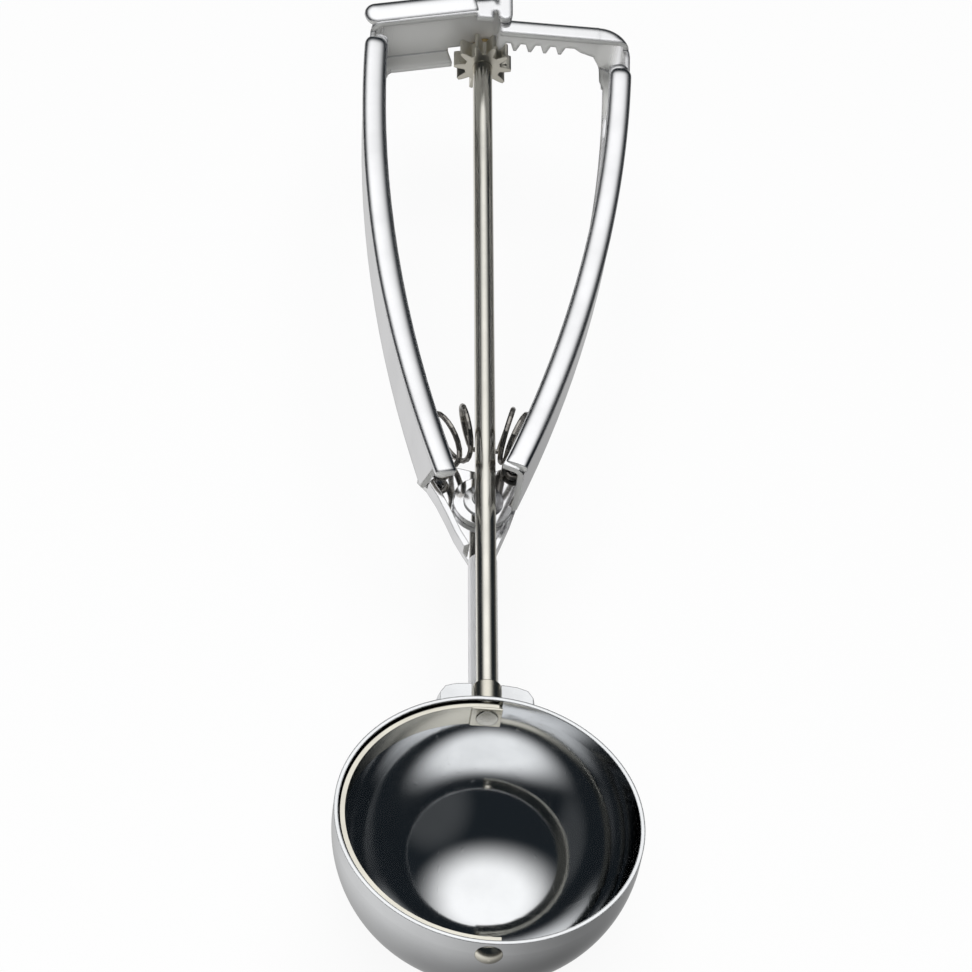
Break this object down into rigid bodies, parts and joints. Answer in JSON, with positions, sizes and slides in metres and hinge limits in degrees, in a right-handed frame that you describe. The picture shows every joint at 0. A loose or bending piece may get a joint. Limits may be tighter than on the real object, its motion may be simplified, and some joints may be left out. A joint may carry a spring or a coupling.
{
  "type": "lever ice cream scoop",
  "caption": "Squeeze-handle ice cream scoop: a round bowl whose scraper blade is turned by a lever handle through a rack and pinion.",
  "frame": {"origin": "centre of the bowl's ball, on the scraper shaft's axis", "axes": "+Y along the shaft from the bowl to the handles, +Z out of the bowl's mouth, +X towards the lever handle"},
  "size_m": [0.0575, 0.2432, 0.0425],
  "materials": {
    "bowl_steel": "mirror",
    "handle_chrome": "bright chrome",
    "nickel_rod": "nickel plated",
    "blade_nickel": "nickel plated",
    "spring_steel": "bright wire",
    "small_steel": "plated",
    "bush_brass": "turned"
  },
  "bodies": {
    "scoop_body": {"bowl": "bowl_steel", "bowl_saddle": "bowl_steel", "shaft_collar": "nickel_rod", "stem": "handle_chrome", "fixed_handle": "handle_chrome", "pivot_pin": "small_steel", "pivot_washer": "small_steel", "top_bush": "bush_brass", "front_rivet": "nickel_rod", "rivet_washer": "small_steel", "spring_post_left": "small_steel", "return_spring": "spring_steel"},
    "lever": {"lever_handle": "handle_chrome", "spring_post_right": "small_steel"},
    "scraper": {"scraper_shaft": "nickel_rod", "pinion": "nickel_rod", "pinion_pin": "small_steel", "shaft_ring": "small_steel", "scraper_blade": "blade_nickel", "blade_hub": "blade_nickel"}
  },
  "joints": [
    {"name": "lever_swing", "type": "hinge", "parent": "scoop_body", "child": "lever", "pos_m": [0, 0.082, -0.0034], "axis": [0, -0.0401, 0.9992], "range_deg": [0, 7.43], "stiffness_Nm_per_rad": 6, "springref_deg": -4.58, "deforming": ["return_spring"]},
    {"name": "scraper_turn", "type": "hinge", "parent": "scoop_body", "child": "scraper", "pos_m": [0, 0, 0], "axis": [0, -1, 0], "range_deg": [0, 180.2]}
  ],
  "couplings": [
    {"joint": "scraper_turn", "follows": "lever_swing", "ratio": 24.24}
  ]
}
